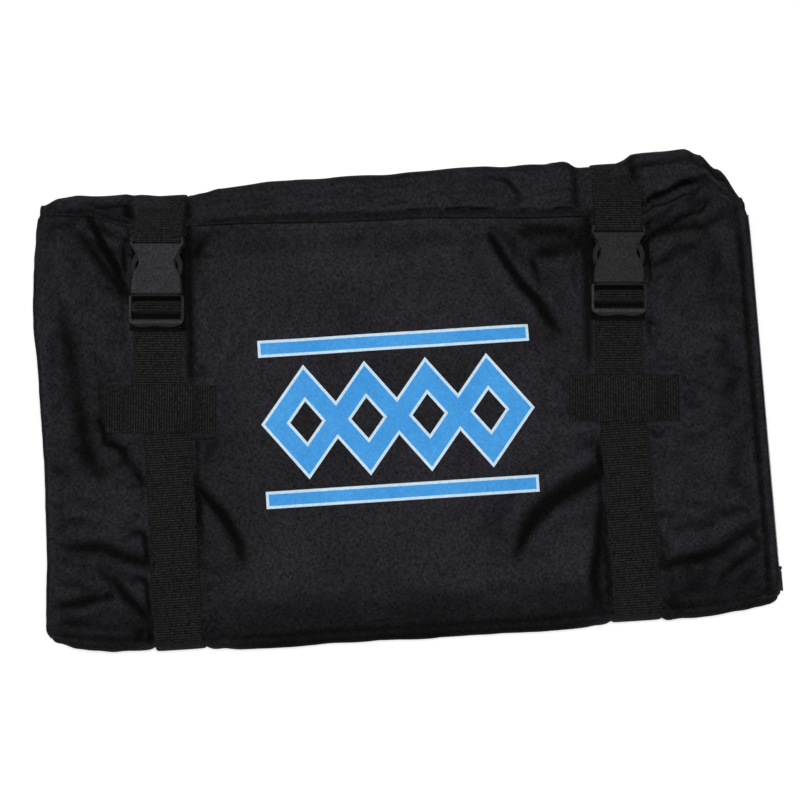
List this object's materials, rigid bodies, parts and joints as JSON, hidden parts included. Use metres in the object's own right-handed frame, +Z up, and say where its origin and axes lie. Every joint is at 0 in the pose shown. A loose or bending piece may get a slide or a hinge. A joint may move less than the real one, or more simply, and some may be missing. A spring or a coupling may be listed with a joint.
{
  "type": "bike travel bag",
  "caption": "Padded bike travel bag folded flat like a letter, with a front flap, webbing straps in keepers, side-release buckles and a side zip.",
  "frame": {"origin": "on the surface it rests on, under the middle of the folded bundle", "axes": "+X to the right along the fold, +Y towards the top edge where the upper straps come over, +Z up out of the printed flap"},
  "size_m": [0.77, 0.4878, 0.0525],
  "materials": {
    "cloth": "black coated oxford weave over foam",
    "tape": "black woven binding tape",
    "webbing": "black ribbed webbing",
    "buckle_plastic": "black satin moulding",
    "zip_plastic": "black zip",
    "print": "blue transfer print with a pale edge"
  },
  "bodies": {
    "root": {"outer_wall": "cloth", "inner_wall": "cloth", "closed_side": "cloth", "zip_chain": "zip_plastic", "middle_hem_tape": "tape", "left_back_strap": "webbing", "right_back_strap": "webbing", "fold_outer_wall": "cloth", "fold_inner_wall": "cloth", "fold_closed_side": "cloth", "fold_zip_chain": "zip_plastic", "left_fold_strap": "webbing", "right_fold_strap": "webbing"},
    "flap": {"flap_outer_wall": "cloth", "flap_inner_wall": "cloth", "flap_closed_side": "cloth", "flap_zip_chain": "zip_plastic", "flap_hem_tape": "tape", "left_lower_strap": "webbing", "right_lower_strap": "webbing", "left_keeper": "webbing", "right_keeper": "webbing", "left_adjusting_strap": "webbing", "right_adjusting_strap": "webbing", "print_lattice": "print", "print_upper_line": "print", "print_lower_line": "print"},
    "slider": {"zip_slider": "zip_plastic"},
    "pull": {"zip_pull": "zip_plastic"},
    "left_plug": {"left_plug": "buckle_plastic"},
    "left_plug_left_arm": {"left_plug_left_arm": "buckle_plastic"},
    "left_plug_right_arm": {"left_plug_right_arm": "buckle_plastic"},
    "left_tether": {"left_socket": "buckle_plastic", "left_upper_strap": "webbing"},
    "right_plug": {"right_plug": "buckle_plastic"},
    "right_plug_left_arm": {"right_plug_left_arm": "buckle_plastic"},
    "right_plug_right_arm": {"right_plug_right_arm": "buckle_plastic"},
    "right_tether": {"right_socket": "buckle_plastic", "right_upper_strap": "webbing"}
  },
  "joints": [
    {"name": "flap_open", "type": "hinge", "parent": "root", "child": "flap", "pos_m": [0, -0.242, 0.0209], "axis": [1, 0, 0], "range_deg": [0, 170], "deforming": ["fold_outer_wall", "fold_inner_wall", "fold_closed_side", "fold_zip_chain", "left_fold_strap", "right_fold_strap"]},
    {"name": "zip_slide", "type": "slide", "parent": "root", "child": "slider", "axis": [0, 1, 0], "range_m": [0, 0.38]},
    {"name": "zip_pull_swing", "type": "hinge", "parent": "slider", "child": "pull", "pos_m": [0.3831, -0.1957, 0.0209], "axis": [0, 0, 1], "range_deg": [0, 170]},
    {"name": "left_plug_draw", "type": "slide", "parent": "flap", "child": "left_plug", "axis": [-0.0645, -0.9979, 0], "range_m": [0, 0.045], "deforming": ["left_adjusting_strap", "left_plug_left_arm", "left_plug_right_arm"]},
    {"name": "left_plug_left_arm_press", "type": "hinge", "parent": "left_plug", "child": "left_plug_left_arm", "pos_m": [-0.27115, 0.14049, 0.0465], "axis": [0, 0, -1], "range_deg": [0, 10], "stiffness_Nm_per_rad": 0.3},
    {"name": "left_plug_right_arm_press", "type": "hinge", "parent": "left_plug", "child": "left_plug_right_arm", "pos_m": [-0.23403, 0.13809, 0.0465], "axis": [0, 0, 1], "range_deg": [0, 10], "stiffness_Nm_per_rad": 0.3},
    {"name": "left_tether_swing", "type": "hinge", "parent": "root", "child": "left_tether", "pos_m": [-0.253, 0.2294, 0.0282], "axis": [-1, 0, 0], "range_deg": [0, 160], "deforming": ["left_upper_strap"]},
    {"name": "right_plug_draw", "type": "slide", "parent": "flap", "child": "right_plug", "axis": [-0.0645, -0.9979, 0], "range_m": [0, 0.045], "deforming": ["right_adjusting_strap", "right_plug_left_arm", "right_plug_right_arm"]},
    {"name": "right_plug_left_arm_press", "type": "hinge", "parent": "right_plug", "child": "right_plug_left_arm", "pos_m": [0.21435, 0.12099, 0.0465], "axis": [0, 0, -1], "range_deg": [0, 10], "stiffness_Nm_per_rad": 0.3},
    {"name": "right_plug_right_arm_press", "type": "hinge", "parent": "right_plug", "child": "right_plug_right_arm", "pos_m": [0.25147, 0.11859, 0.0465], "axis": [0, 0, 1], "range_deg": [0, 10], "stiffness_Nm_per_rad": 0.3},
    {"name": "right_tether_swing", "type": "hinge", "parent": "root", "child": "right_tether", "pos_m": [0.2325, 0.2294, 0.0282], "axis": [-1, 0, 0], "range_deg": [0, 160], "deforming": ["right_upper_strap"]}
  ]
}
